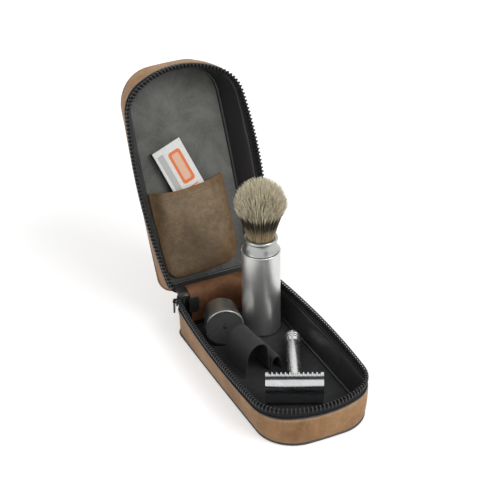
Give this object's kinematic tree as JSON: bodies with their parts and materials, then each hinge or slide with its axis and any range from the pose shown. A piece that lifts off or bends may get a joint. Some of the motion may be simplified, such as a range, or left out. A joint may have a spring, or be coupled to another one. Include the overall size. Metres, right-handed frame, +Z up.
{
  "type": "travel shaving set",
  "caption": "Zipped leather travel case standing open, holding a shaving brush, its travel cap, a safety razor and a box of blades in the lid pocket.",
  "frame": {"origin": "middle of the tray's sole, on the table", "axes": "+X along the hinge to the right, +Y from the tray's front to the hinge, +Z up"},
  "size_m": [0.1058, 0.2823, 0.1879],
  "materials": {
    "tan_leather": "waxed, softly marked",
    "brown_leather": "waxed, darker",
    "board": "pressed fibre board",
    "floor_suede": "short nap",
    "black_lining": "smooth cloth",
    "black_piping": "corded",
    "zip_tape": "woven",
    "zip_teeth": "moulded",
    "zip_metal": "black lacquer",
    "elastic": "flat elastic",
    "satin_aluminium": "satin turned",
    "dark_aluminium": "dark anodised, satin",
    "badger_hair": "cream tips, dark band",
    "chrome": "polished",
    "blade_steel": "bright",
    "white_card": "coated card",
    "grey_card": "card"
  },
  "bodies": {
    "tray": {"tray_sole": "tan_leather", "tray_board": "board", "tray_floor_cloth": "floor_suede", "tray_wall": "tan_leather", "tray_edge_piping": "black_piping", "tray_wall_lining": "black_lining", "tray_floor_piping": "black_piping", "tray_rim_piping": "black_piping", "tray_zip_tape": "zip_tape", "tray_zip_teeth": "zip_teeth", "hinge_gusset": "brown_leather", "zip_end": "zip_tape", "large_loop": "elastic", "small_loop": "elastic"},
    "lid": {"lid_panel": "tan_leather", "lid_board": "board", "lid_floor_cloth": "floor_suede", "lid_wall": "tan_leather", "lid_edge_piping": "black_piping", "lid_wall_lining": "black_lining", "lid_floor_piping": "black_piping", "lid_rim_piping": "black_piping", "lid_zip_tape": "zip_tape", "lid_zip_teeth": "zip_teeth", "lid_pocket": "brown_leather"},
    "zip_slider": {"zip_slider": "zip_metal"},
    "zip_pull": {"zip_pull": "zip_metal"},
    "brush_handle": {"brush_tube": "satin_aluminium"},
    "brush_head": {"brush_collar": "satin_aluminium", "brush_knot": "badger_hair"},
    "travel_cap": {"travel_cap": "satin_aluminium", "travel_cap_disc": "dark_aluminium"},
    "razor_plate": {"razor_plate": "chrome"},
    "razor_cap": {"razor_cap": "chrome", "razor_blade": "blade_steel"},
    "razor_handle": {"razor_handle": "chrome"},
    "blade_box": {"blade_sleeve": "white_card"},
    "blade_tray": {"blade_tray": "grey_card"}
  },
  "joints": [
    {"name": "lid_hinge", "type": "hinge", "parent": "tray", "child": "lid", "pos_m": [0, 0.0888, 0.0294], "axis": [1, 0, 0], "range_deg": [-62, 25]},
    {"name": "slider_run", "type": "hinge", "parent": "tray", "child": "zip_slider", "pos_m": [-0.03096, 0.0763, 0.0294], "axis": [0, 0, 1], "range_deg": [0, 24]},
    {"name": "pull_swing", "type": "hinge", "parent": "zip_slider", "child": "zip_pull", "pos_m": [-0.04383, 0.08372, 0.0294], "axis": [0.5, 0.866, 0], "range_deg": [0, 150]},
    {"name": "brush_lift", "type": "slide", "parent": "tray", "child": "brush_handle", "axis": [0, 0, 1], "range_m": [0, 0.08]},
    {"name": "brush_head_pull", "type": "slide", "parent": "brush_handle", "child": "brush_head", "axis": [0, 0, 1], "range_m": [0, 0.03]},
    {"name": "cap_lift", "type": "slide", "parent": "tray", "child": "travel_cap", "axis": [0, 0, 1], "range_m": [0, 0.05]},
    {"name": "razor_lift", "type": "slide", "parent": "tray", "child": "razor_plate", "axis": [0, 0, 1], "range_m": [0, 0.06]},
    {"name": "handle_turn", "type": "hinge", "parent": "razor_plate", "child": "razor_handle", "pos_m": [-0.0043, -0.0446, 0.01659], "axis": [0.4361, 0.8951, -0.093], "range_deg": [0, 2701]},
    {"name": "razor_open", "type": "slide", "parent": "razor_plate", "child": "razor_cap", "axis": [-0.4361, -0.8951, 0.093], "range_m": [0, 0.006]},
    {"name": "box_pull", "type": "slide", "parent": "lid", "child": "blade_box", "axis": [-0.3258, 0.4088, 0.8525], "range_m": [0, 0.018]},
    {"name": "blade_tray_pull", "type": "slide", "parent": "blade_box", "child": "blade_tray", "axis": [-0.3258, 0.4088, 0.8525], "range_m": [0, 0.01]}
  ],
  "couplings": [
    {"joint": "handle_turn", "follows": "razor_open", "rad_per_m": 7854}
  ]
}
